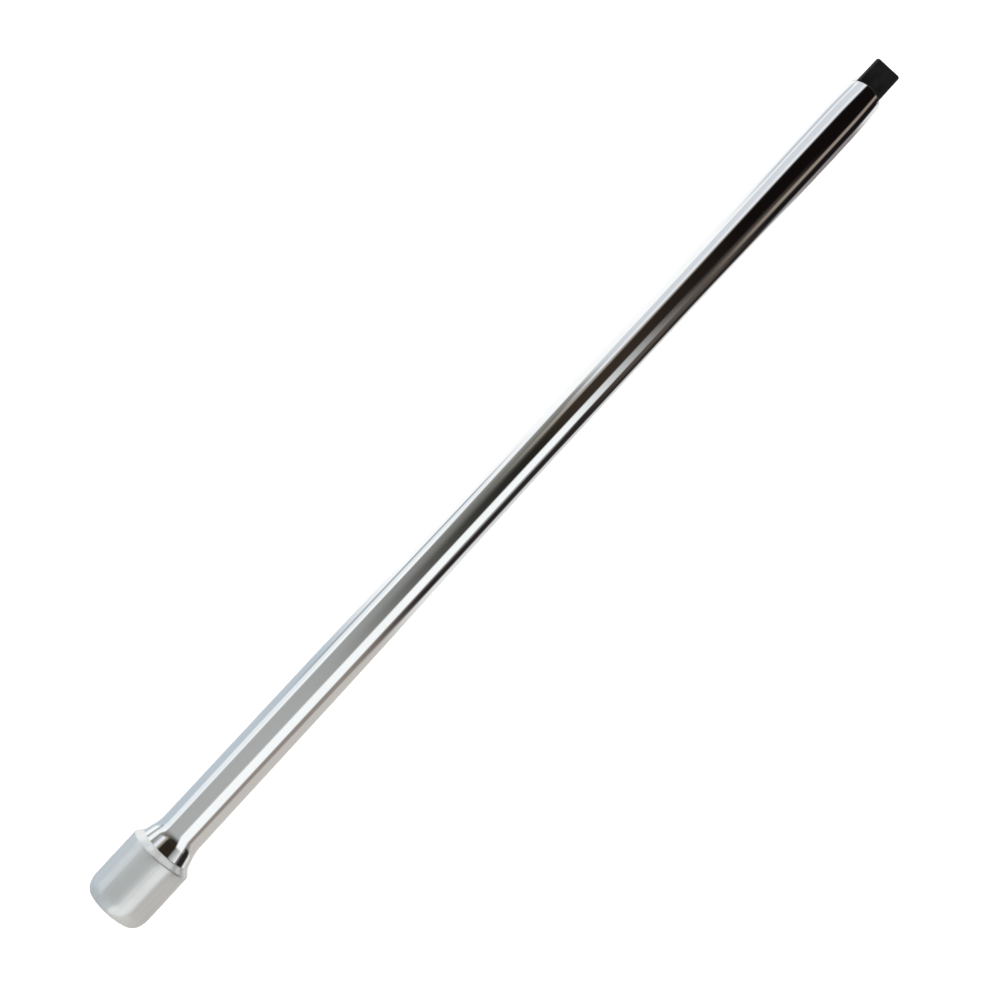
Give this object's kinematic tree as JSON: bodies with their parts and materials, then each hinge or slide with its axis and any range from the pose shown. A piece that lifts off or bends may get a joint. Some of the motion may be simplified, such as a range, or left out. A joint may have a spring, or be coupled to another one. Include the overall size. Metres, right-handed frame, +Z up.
{
  "type": "breaker bar extension",
  "caption": "Long straight chromed drive extension bar with a square socket head at one end and a square drive with a spring-loaded detent ball at the other.",
  "frame": {"origin": "on the bar's long axis at half its length", "axes": "+X along the bar towards the male drive square's tip, +Z up and square to one flat of the drive squares, with the detent ball on the -Z flat; the bar lies along X"},
  "size_m": [0.45, 0.025, 0.025],
  "materials": {
    "bar_chrome": "polished chrome plate over forged chrome-vanadium steel",
    "ball_steel": "bright hardened bearing steel",
    "spring_steel": "drawn spring wire, dull"
  },
  "bodies": {
    "bar": {"bar": "bar_chrome", "detent_spring": "spring_steel"},
    "ball": {"detent_ball": "ball_steel"}
  },
  "joints": [
    {"name": "ball_press", "type": "slide", "parent": "bar", "child": "ball", "axis": [0, 0, 1], "range_m": [0, 0.0011], "stiffness_N_per_m": 1500, "deforming": ["detent_spring"]}
  ]
}
